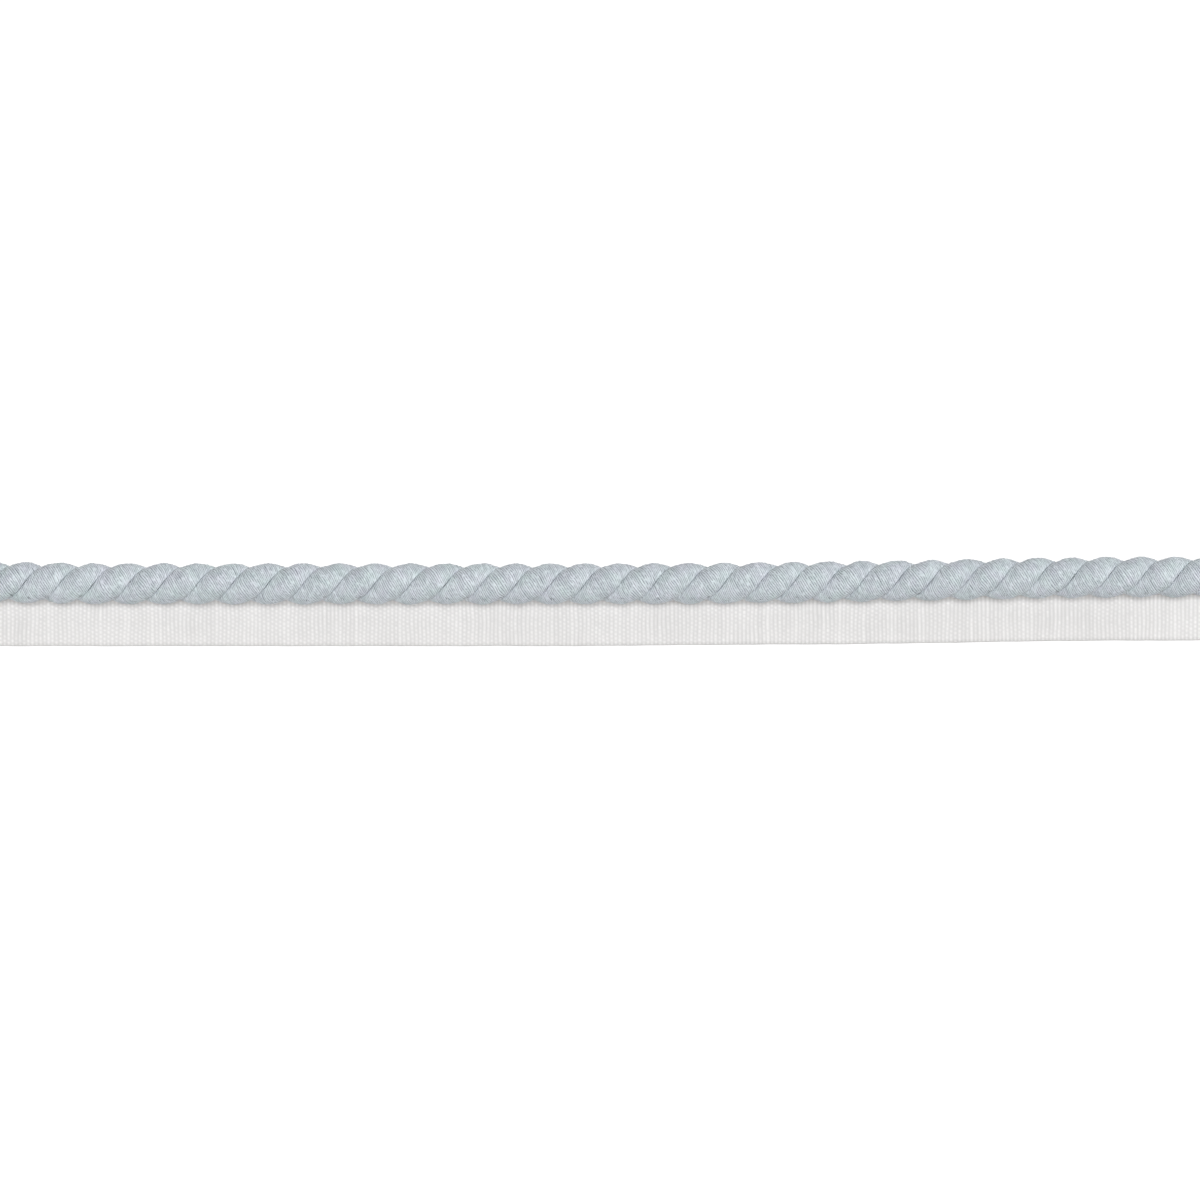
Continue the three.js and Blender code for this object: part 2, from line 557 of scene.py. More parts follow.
@dataclass(frozen=True)
class GimpFinish:
    """The plies' finish: pale blue-grey cotton yarn with a soft sheen, its fibres along the yarn.

    Attributes:
        name: The material's name.
        colour: The yarn's darker tone.
        paler: The yarn's paler tone.
        valley_shade_colour: The painted shade colour deep between two wraps, in the open gaps and in the
            stitches' nicks.
        cool: The tint of some stretches, as a factor.
        warm: The tint of others.
        tint_contrast: How sharply the stretches part.
        patch: The size of such a stretch, in millimetres.
        roughness: The yarn's roughness.
        sheen: The weight of its sheen.
        dash_length: The length of the paler and darker dashes along the yarn, in millimetres.
        dashes_a_wrap: How many dashes lie side by side on one wrap.
        fibre_length: The length of the finer streaks along the yarn, in millimetres.
        fibres_a_wrap: How many streaks lie side by side on one wrap.
        fibre_depth: How deep the streaks are, in millimetres.
        tone_share: How much of the paler tone the mesh's own tones bring.
        dash_share: How much the dashes bring.
        fibre_share: How much the streaks bring.
    """

    name: str = "gimped_cotton"
    colour: Colour = (0.343, 0.376, 0.411)
    paler: Colour = (0.650, 0.687, 0.721)
    valley_shade_colour: Colour = (0.06, 0.075, 0.09)
    cool: Colour = (0.92, 1.0, 0.965)
    warm: Colour = (0.985, 0.965, 1.015)
    tint_contrast: float = 1.6
    patch: float = 3.6
    roughness: float = 0.62
    sheen: float = 0.12
    dash_length: float = 0.9
    dashes_a_wrap: float = 0.9
    fibre_length: float = 1.6
    fibres_a_wrap: float = 6.0
    fibre_depth: float = 0.03
    tone_share: float = 0.6
    dash_share: float = 0.5
    fibre_share: float = 0.15

    def material(self) -> bpy.types.Material:
        """Builds the node material.

        Returns:
            The material.
        """
        nodes = NodeSheet(self.name)
        bsdf = nodes.principled(self.roughness, self.sheen)
        along = nodes.attribute("along")
        wrap = nodes.attribute("wrap")
        dash_place = nodes.vector(
            nodes.sum([(along, 1 / self.dash_length)]), nodes.sum([(wrap, self.dashes_a_wrap)])
        )
        dashes = nodes.noise(dash_place, 1.0, detail=1.0)
        fibre_place = nodes.vector(
            nodes.sum([(along, 1 / self.fibre_length)]), nodes.sum([(wrap, self.fibres_a_wrap)])
        )
        fibres = nodes.noise(fibre_place, 1.0, detail=2.0)
        own_tone = nodes.attribute("tone")
        tone = nodes.sum(
            [(own_tone, self.tone_share), (dashes, self.dash_share), (fibres, self.fibre_share)]
        )
        colour = nodes.mix(tone, self.colour, self.paler)
        patches = nodes.noise(nodes.place(), 1 / (self.patch * MM), detail=1.0)
        parted = nodes.sum([(patches, self.tint_contrast)], 0.5 * (1 - self.tint_contrast))
        tint = nodes.mix(parted, self.cool, self.warm)
        colour = nodes.mix(1.0, colour, tint, Blend.MULTIPLY)
        # Painted shade: darkens the valleys between wraps, the open gaps and the stitches' nicks.
        colour = nodes.mix(nodes.attribute("painted_shade"), colour, self.valley_shade_colour)
        nodes.link(colour, bsdf.inputs["Base Color"])
        nodes.bump(fibres, self.fibre_depth * MM, bsdf)
        return nodes.material


@dataclass(frozen=True)
class CottonFinish:
    """A matt cotton, used for the tape, the core, the sewing thread and the loose fibres.

    Attributes:
        name: The material's name.
        colour: The cotton's darker tone.
        paler: The cotton's paler tone.
        painted_shade_colour: The painted shade colour, put where the mesh says shade falls on it.
        roughness: The cotton's roughness.
        sheen: The weight of its sheen.
        fibre_size: The size of its fibres' mottling, in millimetres.
        fibre_depth: How deep that mottling is, in millimetres.
        tone_share: How much of the paler tone the mesh's own tones bring.
        fibre_share: How much the mottling brings.
    """

    name: str
    colour: Colour
    paler: Colour
    painted_shade_colour: Colour
    roughness: float = 0.9
    sheen: float = 0.1
    fibre_size: float = 0.1
    fibre_depth: float = 0.03
    tone_share: float = 0.8
    fibre_share: float = 0.4

    def material(self) -> bpy.types.Material:
        """Builds the node material.

        Returns:
            The material.
        """
        nodes = NodeSheet(self.name)
        bsdf = nodes.principled(self.roughness, self.sheen)
        fibres = nodes.noise(nodes.place(), 1 / (self.fibre_size * MM), detail=3.0)
        tone = nodes.sum([(nodes.attribute("tone"), self.tone_share), (fibres, self.fibre_share)])
        colour = nodes.mix(tone, self.colour, self.paler)
        # Painted shade: darkens the tape between its ribs, beside the cord and at its free edge.
        colour = nodes.mix(nodes.attribute("painted_shade"), colour, self.painted_shade_colour)
        nodes.link(colour, bsdf.inputs["Base Color"])
        nodes.bump(fibres, self.fibre_depth * MM, bsdf)
        return nodes.material


TAPE_COTTON = CottonFinish("woven_tape", (0.585, 0.579, 0.578), (0.765, 0.757, 0.755), (0.40, 0.395, 0.39))
CORE_COTTON = CottonFinish("cotton_core", (0.70, 0.68, 0.64), (0.86, 0.84, 0.80), (0.45, 0.43, 0.40))
SEWING_COTTON = CottonFinish("sewing_thread", (0.47, 0.51, 0.55), (0.63, 0.665, 0.70), (0.35, 0.37, 0.39))
LOOSE_COTTON = CottonFinish("loose_fibre", (0.52, 0.56, 0.59), (0.68, 0.71, 0.73), (0.40, 0.43, 0.45))


@dataclass
class MeshPiece:
    """A piece's mesh while it is made.

    Attributes:
        name: The piece's name.
        points: Its points, in millimetres.
        faces: Its faces, as rows of indices.
        values: Numbers that it holds at each point, by name.
    """

    name: str
    points: np.ndarray
    faces: list[tuple[int, ...]]
    values: dict[str, np.ndarray]

    def object(self) -> bpy.types.Object:
        """Makes the Blender object, smooth shaded, with its values as point attributes.

        Returns:
            The object.
        """
        mesh = bpy.data.meshes.new(self.name)
        mesh.from_pydata((self.points * MM).tolist(), [], self.faces)
        for name, numbers in self.values.items():
            layer = mesh.attributes.new(name, "FLOAT", "POINT")
            layer.data.foreach_set("value", np.asarray(numbers, np.float32).ravel())
        mesh.shade_smooth()
        piece = bpy.data.objects.new(self.name, mesh)
        bpy.context.scene.collection.objects.link(piece)
        return piece


@dataclass
class ThreadBundle:
    """Many short threads joined into one mesh, each a closed round tube along its own line.

    Attributes:
        name: The name of the piece that they make.
        sides: How many sides a tube has.
        points: Each tube's points.
        faces: All the tubes' faces.
        tones: Each tube's tones, one for each point.
    """

    name: str
    sides: int = 6
    points: list[np.ndarray] = field(default_factory=list)
    faces: list[tuple[int, ...]] = field(default_factory=list)
    tones: list[np.ndarray] = field(default_factory=list)

    def add(self, line: np.ndarray, radius: np.ndarray, tone: float = 0.5) -> None:
        """Adds one thread.

        Args:
            line: The points that it follows, in millimetres.
            radius: Its radius at each of them.
            tone: How pale it is, from 0 to 1.
        """
        along = np.gradient(line, axis=0)
        along /= np.linalg.norm(along, axis=1, keepdims=True)
        helper = np.eye(3)[np.argmin(np.abs(along).max(axis=0))]
        side = np.cross(along, helper)
        side /= np.linalg.norm(side, axis=1, keepdims=True)
        upper = np.cross(along, side)
        turn = np.arange(self.sides) / self.sides * 2 * math.pi
        ring = np.cos(turn)[None, :, None] * side[:, None] + np.sin(turn)[None, :, None] * upper[:, None]
        tube = line[:, None] + ring * np.asarray(radius)[:, None, None]
        start = sum(len(p) for p in self.points)
        self.points.append(tube.reshape(-1, 3))
        for i in range(len(line) - 1):
            for j in range(self.sides):
                a = start + i * self.sides + j
                b = start + i * self.sides + (j + 1) % self.sides
                self.faces.append((a, b, b + self.sides, a + self.sides))
        last = start + (len(line) - 1) * self.sides
        self.faces.append(tuple(start + j for j in reversed(range(self.sides))))
        self.faces.append(tuple(last + j for j in range(self.sides)))
        self.tones.append(np.full(len(line) * self.sides, tone))

    def object(self) -> bpy.types.Object:
        """Makes the Blender object.

        Returns:
            The object.
        """
        tones = np.concatenate(self.tones)
        values = {"tone": tones, "painted_shade": np.zeros_like(tones)}
        return MeshPiece(self.name, np.concatenate(self.points), self.faces, values).object()


def dress(piece: bpy.types.Object, finish: bpy.types.Material) -> None:
    """Gives a piece its finish and lets it ride in the frame.

    Args:
        piece: The piece.
        finish: Its material.
    """
    piece.data.materials.append(finish)
    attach(piece, ROOT)


def ease(value: np.ndarray, start: float, end: float) -> np.ndarray:
    """Goes smoothly from 0 to 1 while a value goes from a start to an end.

    Args:
        value: The value.
        start: Where the way begins.
        end: Where it ends.

    Returns:
        The share of the way, from 0 to 1.
    """
    t = np.clip((value - start) / (end - start), 0, 1)
    return t * t * (3 - 2 * t)


def cut_square(piece: bpy.types.Object, low_x: float, high_x: float, tolerance: float = 0.0001) -> None:
    """Cuts a piece square across at both ends and closes the cuts.

    Args:
        piece: The piece to cut.
        low_x: The X of the first cut, in millimetres.
        high_x: The X of the last cut, in millimetres.
        tolerance: How near a point counts as on the cut, in millimetres.
    """
    work = bmesh.new()
    work.from_mesh(piece.data)
    for x, outward in ((low_x, -1.0), (high_x, 1.0)):
        cut = bmesh.ops.bisect_plane(
            work,
            geom=work.verts[:] + work.edges[:] + work.faces[:],
            dist=tolerance * MM,
            plane_co=(x * MM, 0, 0),
            plane_no=(outward, 0, 0),
            clear_outer=True,
        )
        rim = [e for e in cut["geom_cut"] if isinstance(e, bmesh.types.BMEdge)]
        lids = bmesh.ops.holes_fill(work, edges=rim, sides=0)["faces"]
        for lid in lids:
            lid.smooth = False
            lid.normal_update()
            if lid.normal.x * outward < 0:
                lid.normal_flip()
        bmesh.ops.triangulate(work, faces=lids)
    work.to_mesh(piece.data)
    work.free()


@dataclass(frozen=True)
class RouteStep:
    """One step of a stitch's thread once it has left the cord, in millimetres.

    Attributes:
        on: How far on the step goes, towards +X.
        across: How far across it goes, towards +Y.
        height: The height that it ends at.
    """

    on: float
    across: float
    height: float


@dataclass(frozen=True)
class Stitching:
    """The sewing that holds the tape to the cord: each stitch runs round its flank and through the tape.

    Sizes are millimetres, and angles are about the cord's axis, from +Y towards +Z.

    Attributes:
        lie: How the piece lies.
        shape: The cord's shape.
        pitch: From one stitch to the next.
        first: Where the first stitch enters the cord, along X.
        end_margin: How near to the cut end the last stitch may be.
        thread_radius: The sewing thread's radius.
        entry_angle: Where the stitches enter the cord.
        leaving_angle: Where they leave it for the tape.
        slant: How far on a stitch runs while it is on the cord.
        steps: How many points it has there.
        sunk: How deep its middle line lies in the wraps.
        tuck_turn: How far round the cord its hidden end is, in radians.
        tuck_depth: How deep that end is in the ply.
        tape_bottom: The height of the tape's underside below the cord.
        under_run: How far the thread runs on along that underside.
        unevenness: How far an entry strays along X.
        stray: How far its angle strays.
        tones: The range of the stitches' tones.
        seed: The seed of the strays and the tones.
    """

    lie: Lie
    shape: CordShape
    pitch: float = 4.25
    first: float = -147.6
    end_margin: float = 2.0
    thread_radius: float = 0.1
    entry_angle: float = math.radians(147)
    leaving_angle: float = math.radians(242)
    slant: float = 0.9
    steps: int = 12
    sunk: float = 0.02
    tuck_turn: float = 0.05
    tuck_depth: float = 0.5
    tape_bottom: float = 0.5
    under_run: float = 2.2
    unevenness: float = 0.3
    stray: float = math.radians(7)
    tones: tuple[float, float] = (0.2, 0.8)
    seed: int = 71

    def places(self) -> tuple[np.ndarray, np.ndarray]:
        """Finds where each stitch enters the cord.

        Returns:
            The entries' places along X and their angles.
        """
        rng = np.random.default_rng(self.seed)
        room = self.lie.cut_length / 2 - self.end_margin - self.first
        count = int(room / self.pitch) + 1
        x = self.first + self.pitch * np.arange(count) + self.unevenness * rng.uniform(-1, 1, count)
        angle = self.entry_angle + self.stray * rng.uniform(-1, 1, count)
        return x, angle

    def build(self) -> bpy.types.Object:
        """Builds all the stitches as one mesh.

        Returns:
            The stitches' object.
        """
        bundle = ThreadBundle("sewing_stitches")
        rng = np.random.default_rng(self.seed + 1)
        for x, angle in zip(*self.places()):
            line = self.line(x, angle)
            bundle.add(line, np.full(len(line), self.thread_radius), rng.uniform(*self.tones))
        return bundle.object()

    def line(self, x: float, angle: float) -> np.ndarray:
        """The line that one stitch's thread follows.

        Args:
            x: The entry's place along X.
            angle: The entry's angle.

        Returns:
            The line's points.
        """
        s = self.shape
        angles = np.linspace(angle, self.leaving_angle, self.steps)
        xs = x + self.slant * np.linspace(0, 1, self.steps)
        over = s.surface(xs, angles, self.lie, -self.sunk)
        inside = s.surface(xs[:1], angles[:1] - self.tuck_turn, self.lie, -self.tuck_depth)
        bottom = self.tape_bottom
        route = (
            RouteStep(on=0.05, across=0.15, height=min(over[-1, 2], s.tape_thickness + s.clearance)),
            RouteStep(on=0.05, across=0.1, height=bottom + 0.15),
            RouteStep(on=0.2, across=0.15, height=bottom - self.thread_radius),
            RouteStep(on=self.under_run, across=0.2, height=bottom - self.thread_radius),
            RouteStep(on=0.2, across=0.1, height=bottom + 0.3),
        )
        moves = np.array([[step.on, step.across] for step in route])
        below = np.cumsum(np.concatenate([over[-1:, :2], moves]), axis=0)[1:]
        heights = np.array([[step.height] for step in route])
        return np.concatenate([inside, over, np.concatenate([below, heights], axis=1)])

    def dress(self, piece: bpy.types.Object) -> None:
        """Gives the stitches their finish."""
        dress(piece, SEWING_COTTON.material())


@dataclass(frozen=True)
class Winding:
    """The fine yarn wound round a ply, in millimetres.

    Places round the ply are shares of a turn from its crown, and a range is a least and a most value.

    Attributes:
        pitch: From one wrap to the next, along X.
        starts: How many yarns are wound side by side.
        rows: How many rows of points a wrap has.
        valley: How deep the valley between two wraps is.
        valley_change: How much that depth changes along a valley, as a share.
        valley_range: The range that it keeps to, as shares.
        valley_shade: How dark the painted shade in a valley of the full depth is, from 0 to 1.
        darkest: How dark the painted shade in a valley may be where it isn't open.
        flank: How much lower a wrap's two flanks are than its top.
        uneven: The spread of the wraps' widths, as a share.
        uneven_most: The most that a width may stray, in spreads.
        lean: The spread of the wraps' lean, as a share of a pitch.
        gap_share: The share of valleys that stand open somewhere.
        gap_reach: How far from the crown such a gap may be.
        gap_width: The range of its width.
        gap_force: The range of its strength.
        gap_bias: How much the weaker gaps outnumber the stronger, as a power.
        gap_deeper: How much deeper an open valley is, as a share.
        gap_shade: How much painted shade an open valley gets, and how much its flank sinks.
        proud: The spread of the wraps' heights.
        proud_range: The range that the heights keep to, in spreads.
        sway: The height of the ply's own slow unevenness.
        flattened: The share of their relief that the wraps lose on the ply's lower side.
        flattened_above: How much of that they lose on its upper side, as a share.
        lower_side: Where the loss on the lower side begins and is whole.
        upper_side: Where the loss on the upper side does.
        waves: How finely depth and tone change along a wrap.
        slow_waves: How finely its height does.
        tone_by_wrap: The spread of the tones from wrap to wrap.
        tone_along: The spread of the tones along a wrap.
        tone_slow: The strength of the tone's slow change along the ply.
    """

    pitch: float = 0.296
    starts: int = 4
    rows: int = 4
    valley: float = 0.175
    valley_change: float = 0.6
    valley_range: tuple[float, float] = (0.05, 2.2)
    valley_shade: float = 1.2
    darkest: float = 0.82
    flank: float = 0.045
    uneven: float = 0.1
    uneven_most: float = 2.0
    lean: float = 0.2
    gap_share: float = 0.08
    gap_reach: float = 0.35
    gap_width: tuple[float, float] = (0.04, 0.13)
    gap_force: tuple[float, float] = (0.3, 1.0)
    gap_bias: float = 1.5
    gap_deeper: float = 1.6
    gap_shade: float = 0.5
    proud: float = 0.04
    proud_range: tuple[float, float] = (-1.6, 1.8)
    sway: float = 0.09
    flattened: float = 0.38
    flattened_above: float = 0.8
    lower_side: tuple[float, float] = (0.04, 0.34)
    upper_side: tuple[float, float] = (0.1, 0.35)
    waves: int = 11
    slow_waves: int = 3
    tone_by_wrap: float = 0.12
    tone_along: float = 0.16
    tone_slow: float = 0.1

    def ridge(self, turns: np.ndarray) -> np.ndarray:
        """Works out how much of their relief the wraps keep round the ply.

        Args:
            turns: Shares of a turn from the crown.

        Returns:
            The share that they keep at each.
        """
        lower = ease(turns, *self.lower_side)
        upper = ease(-turns, *self.upper_side)
        return 1 - self.flattened * (lower + self.flattened_above * upper)

    def gaps(self, wraps: int, turns: np.ndarray, rng: np.random.Generator) -> np.ndarray:
        """Opens some of the valleys between the wraps.

        Args:
            wraps: How many wraps there are.
            turns: Shares of a turn from the crown.
            rng: The ply's random numbers.

        Returns:
            How far each valley stands open, from 0 to 1, a row for each.
        """
        middle = rng.uniform(-self.gap_reach, self.gap_reach, (wraps, 1))
        width = rng.uniform(*self.gap_width, (wraps, 1))
        opened = rng.random((wraps, 1)) < self.gap_share
        force = opened * rng.uniform(*self.gap_force, (wraps, 1)) ** self.gap_bias
        return force * np.exp(-(((turns - middle) / width) ** 2))


@dataclass
class GimpedPly:
    """One ply of the cord: a soft core wound closely with fine yarn, as a mesh of every wrap.

    Attributes:
        name: The piece's name.
        node: The solid that it stands for.
        ply: Which ply it is.
        lie: How the piece lies.
        shape: The cord's shape.
        winding: The yarn's winding.
        stitching: The stitches that nick it.
        seed: The seed of its unevenness.
        margin: How far past the cut ends it is wound before it is cut, in millimetres.
        spare: How much of that is kept until the cut.
        nick_size: How wide a nick is.
        nick_depth: How deep a nick is.
        nick_shade: How dark the painted shade in a nick is, from 0 to 1.
        nick_reach: Where the nicks begin and are whole, out from the cord's axis.
    """

    name: str
    node: str
    ply: Ply
    lie: Lie
    shape: CordShape
    winding: Winding
    stitching: Stitching
    seed: int
    margin: float = 5.0
    spare: float = 1.0
    nick_size: float = 0.32
    nick_depth: float = 0.16
    nick_shade: float = 0.75
    nick_reach: tuple[float, float] = (3.2, 3.8)

    def build(self) -> bpy.types.Object:
        """Builds the wound surface.

        Returns:
            The ply's object, cut square at both ends.
        """
        outline = PlyOutline(self.shape)
        w = self.winding
        rng = np.random.default_rng(self.seed)
        wraps = int((self.lie.cut_length + 2 * self.margin) / w.pitch)
        widths = 1 + w.uneven * rng.standard_normal(wraps).clip(-w.uneven_most, w.uneven_most)
        ends = np.concatenate([[0], np.cumsum(widths)])
        ends = (ends / ends[-1] - 0.5) * wraps * w.pitch
        inside = np.arange(w.rows) / w.rows
        starts = (ends[:-1, None] + inside * np.diff(ends)[:, None]).reshape(-1, 1)

        turns = outline.turns()[None, :]
        sway = w.lean * w.pitch * SmoothNoise(self.seed + 3, shortest=2.0, longest=15.0).at(starts, turns)
        x = starts + outline.leads()[None, :] - w.starts * w.pitch * turns + sway
        depth, painted_shade = self.relief(outline, wraps, x, turns, rng)
        points = self.place(outline, x, depth)
        values = {
            "tone": self.tones(wraps, x, turns, rng).ravel(),
            "painted_shade": painted_shade.ravel(),
            "along": np.broadcast_to(turns * outline.girth(), x.shape).ravel(),
            "wrap": np.broadcast_to(np.arange(len(starts))[:, None] / w.rows, x.shape).ravel(),
        }

        faces = self.helical_faces(len(starts), outline.count, w.starts * w.rows)
        near = np.abs(points[:, 0])[faces].min(axis=1) < self.lie.cut_length / 2 + self.spare
        piece = MeshPiece(self.name, points, faces[near].tolist(), values).object()
        cut_square(piece, -self.lie.cut_length / 2, self.lie.cut_length / 2)
        return piece

    def dress(self, piece: bpy.types.Object, gimp: bpy.types.Material) -> None:
        """Gives the ply its finish and lets it stand for its solid.

        Args:
            piece: The ply's object.
            gimp: The wound yarn's material.
        """
        dress(piece, gimp)
        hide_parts(self.node)

    def relief(
        self,
        outline: PlyOutline,
        wraps: int,
        x: np.ndarray,
        turns: np.ndarray,
        rng: np.random.Generator,
    ) -> tuple[np.ndarray, np.ndarray]:
        """Works out how the wraps stand in and out.

        Args:
            outline: The ply's outline.
            wraps: How many wraps there are.
            x: Each point's place along X.
            turns: Each column's share of a turn.
            rng: The ply's random numbers.

        Returns:
            The height of each point and how much painted shade it has, from 0 to 1.
        """
        w = self.winding
        columns = turns.shape[1]
        along = thread_noise(rng, wraps, turns, w.waves)
        valley = w.valley * w.ridge(turns) * (1 + w.valley_change * along).clip(*w.valley_range)
        gap = w.gaps(wraps, turns, rng)
        proud = w.proud * thread_noise(rng, wraps, turns, w.slow_waves).clip(*w.proud_range)
        height = np.zeros((wraps, w.rows, columns))
        height[:, 0] = -valley - w.gap_deeper * w.valley * gap
        height[:, 1] = -w.flank - w.gap_shade * w.valley * gap
        height[:, -1] = -w.flank
        height[:, 1:] += proud[:, None]
        # Painted shade: the valleys between wraps and the open gaps are darkened in colour, the deeper
        # valleys more.
        painted_shade = np.zeros_like(height)
        painted_shade[:, 0] = (w.valley_shade * valley / w.valley).clip(0, w.darkest) + w.gap_shade * gap
        painted_shade[:, 1] = w.gap_shade * gap
        sway = w.sway * SmoothNoise(self.seed + 9, shortest=5.0, longest=40.0).at(x, turns)
        # The stitches' nicks are dented and also get painted shade.
        nick = self.nicks(outline, x)
        height = height.reshape(-1, columns) + sway - self.nick_depth * nick
        return height, (painted_shade.reshape(-1, columns) + self.nick_shade * nick).clip(0, 1)

    def nicks(self, outline: PlyOutline, x: np.ndarray) -> np.ndarray:
        """Finds where the stitches pull the wraps in.

        Args:
            outline: The ply's outline.
            x: Each point's place along X.

        Returns:
            How far they do, from 0 to 1.
        """
        s = self.shape
        row = self.lie.at(x)
        turn = s.crown_turn(x, row.slip, self.ply)
        angle = turn + np.arctan2(outline.across, outline.out)[None, :]
        reach = np.hypot(outline.out, outline.across)[None, :]
        places, entries = self.stitching.places()
        nearest = np.abs(x[..., None] - places[None, None, :]).argmin(axis=-1)
        apart = (angle - entries[nearest] + math.pi) % (2 * math.pi) - math.pi
        aside = reach * apart / self.nick_size
        ahead = (x - places[nearest]) / self.nick_size
        outer = ease(reach, *self.nick_reach)
        return outer * np.exp(-(aside**2) - ahead**2)

    def tones(
        self, wraps: int, x: np.ndarray, turns: np.ndarray, rng: np.random.Generator
    ) -> np.ndarray:
        """Works out how pale the yarn is.

        Args:
            wraps: How many wraps there are.
            x: Each point's place along X.
            turns: Each column's share of a turn.
            rng: The ply's random numbers.

        Returns:
            The tone of each point, from 0 to 1.
        """
        w = self.winding
        by_wrap = w.tone_by_wrap * rng.standard_normal((wraps, 1))
        along_wrap = w.tone_along * thread_noise(rng, wraps, turns, w.waves)
        each = np.repeat(by_wrap + along_wrap, w.rows, axis=0)
        slow = w.tone_slow * SmoothNoise(self.seed + 13, shortest=1.5, longest=30.0).at(x, turns)
        return (0.5 + each + slow).clip(0, 1)

    def place(self, outline: PlyOutline, x: np.ndarray, depth: np.ndarray) -> np.ndarray:
        """Places the outline's points, turned about the cord's axis.

        Args:
            outline: The ply's outline.
            x: Each point's place along X.
            depth: How far each point stands out of the outline.

        Returns:
            The points, in millimetres.
        """
        s = self.shape
        row = self.lie.at(x)
        size, shift = s.fullness(row, self.ply)
        normal = outline.normals()
        out = outline.out * size + shift + depth * normal[:, 0]
        across = outline.across * size + depth * normal[:, 1]
        turn = s.crown_turn(x, row.slip, self.ply)
        y = s.axis_y + row.cord_stray + out * np.cos(turn) - across * np.sin(turn)
        z = s.axis_z + out * np.sin(turn) + across * np.cos(turn)
        return np.stack([x, y, z], -1).reshape(-1, 3)

    def helical_faces(self, rows: int, columns: int, lead: int) -> np.ndarray:
        """Lists the faces of a grid whose every row runs on into one further back.

        Args:
            rows: How many rows there are.
            columns: How many points a row has.
            lead: How many rows further back a row runs on.

        Returns:
            The faces, four indices a row.
        """
        row = np.arange(lead, rows - 1)[:, None]
        column = np.arange(columns)[None, :]
        a = row * columns + column
        last = column == columns - 1
        b = np.where(last, (row - lead) * columns, a + 1)
        return np.stack([a, b, b + columns, a + columns], -1).reshape(-1, 4)


@dataclass(frozen=True)
class CoreEnds:
    """The soft cotton core that shows in each ply's two cut ends, as the ends of its strands.

    Sizes are millimetres.

    Attributes:
        lie: How the piece lies.
        shape: The cord's shape.
        spacing: From one strand to the next.
        strand_radius: A strand's radius.
        taper: The radius at each of a strand's points, as a share.
        rind: How much room the wrapping yarn takes round the core.
        shoulder_rind: How much it takes at the ends of the flat.
        inside: How far in a strand starts.
        tip: The range by which the tips stand out of the cut.
        rounding: The shares of a tip at which its last three points stand.
        stray: The spread of the strands' places.
        drift: The spread of how far a strand leans.
        tones: The range of the strands' tones.
        seed: The seed of all these.
    """

    lie: Lie
    shape: CordShape
    spacing: float = 0.44
    strand_radius: float = 0.26
    taper: tuple[float, ...] = (1.0, 1.0, 0.98, 0.82)
    rind: float = 0.5
    shoulder_rind: float = 0.3
    inside: float = 0.6
    tip: tuple[float, float] = (0.06, 0.24)
    rounding: tuple[float, ...] = (0.5, 0.85, 1.0)
    stray: float = 0.05
    drift: float = 0.12
    tones: tuple[float, float] = (0.1, 0.9)
    seed: int = 83

    def build(self) -> bpy.types.Object:
        """Builds the ends of all the strands as one mesh.

        Returns:
            The strands' object.
        """
        bundle = ThreadBundle("core_strands", sides=8)
        rng = np.random.default_rng(self.seed)
        for ply in Ply:
            for end in (-1, 1):
                for out, across in self.places():
                    self.add_strand(bundle, ply, end, out, across, rng)
        return bundle.object()

    def dress(self, piece: bpy.types.Object) -> None:
        """Gives the core its finish."""
        dress(piece, CORE_COTTON.material())

    def places(self) -> list[tuple[float, float]]:
        """Lists the strands' places in a ply's outline, in staggered rows.

        Returns:
            Each strand's place, out from the cord's axis and across the ply.
        """
        s = self.shape
        crown = s.radius - s.shoulder_rise - self.rind
        step = self.spacing * math.sqrt(3) / 2
        most = math.ceil(s.shoulder_width / self.spacing)
        found = []
        for i in range(int(s.radius / step)):
            out = self.rind + i * step
            for j in range(-most, most + 1):
                across = (j + 0.5 * (i % 2)) * self.spacing
                if out > s.shoulder_rise:
                    fits = math.hypot(out - s.shoulder_rise, across) < crown
                else:
                    fits = abs(across) < s.flat_half_width - self.shoulder_rind
                if fits:
                    found.append((out, across))
        return found

    def add_strand(
        self, bundle: ThreadBundle, ply: Ply, end: int, out: float, across: float, rng: np.random.Generator
    ) -> None:
        """Adds one strand's end to the bundle.

        Args:
            bundle: The strands so far.
            ply: The strand's ply.
            end: Which cut end, -1 or 1.
            out: The strand's place, out from the cord's axis.
            across: The strand's place, across the ply.
            rng: The random numbers.
        """
        s = self.shape
        x = end * self.lie.cut_length / 2
        row = self.lie.at(np.array(x))
        out, across = out + rng.normal(0, self.stray), across + rng.normal(0, self.stray)
        tip = rng.uniform(*self.tip)
        reach = np.array([-self.inside, *(share * tip for share in self.rounding)])
        turn = float(s.crown_turn(x, row.slip, ply))
        size, shift = s.fullness(row, ply)
        out = out * size + shift
        y = s.axis_y + row.cord_stray + out * math.cos(turn) - across * math.sin(turn)
        z = s.axis_z + out * math.sin(turn) + across * math.cos(turn)
        drift = rng.normal(0, self.drift, 2)
        share = np.linspace(0, 1, len(reach))
        line = np.stack([x + end * reach, y + drift[0] * share, z + drift[1] * share], 1)
        bundle.add(line, self.strand_radius * np.array(self.taper), rng.uniform(*self.tones))


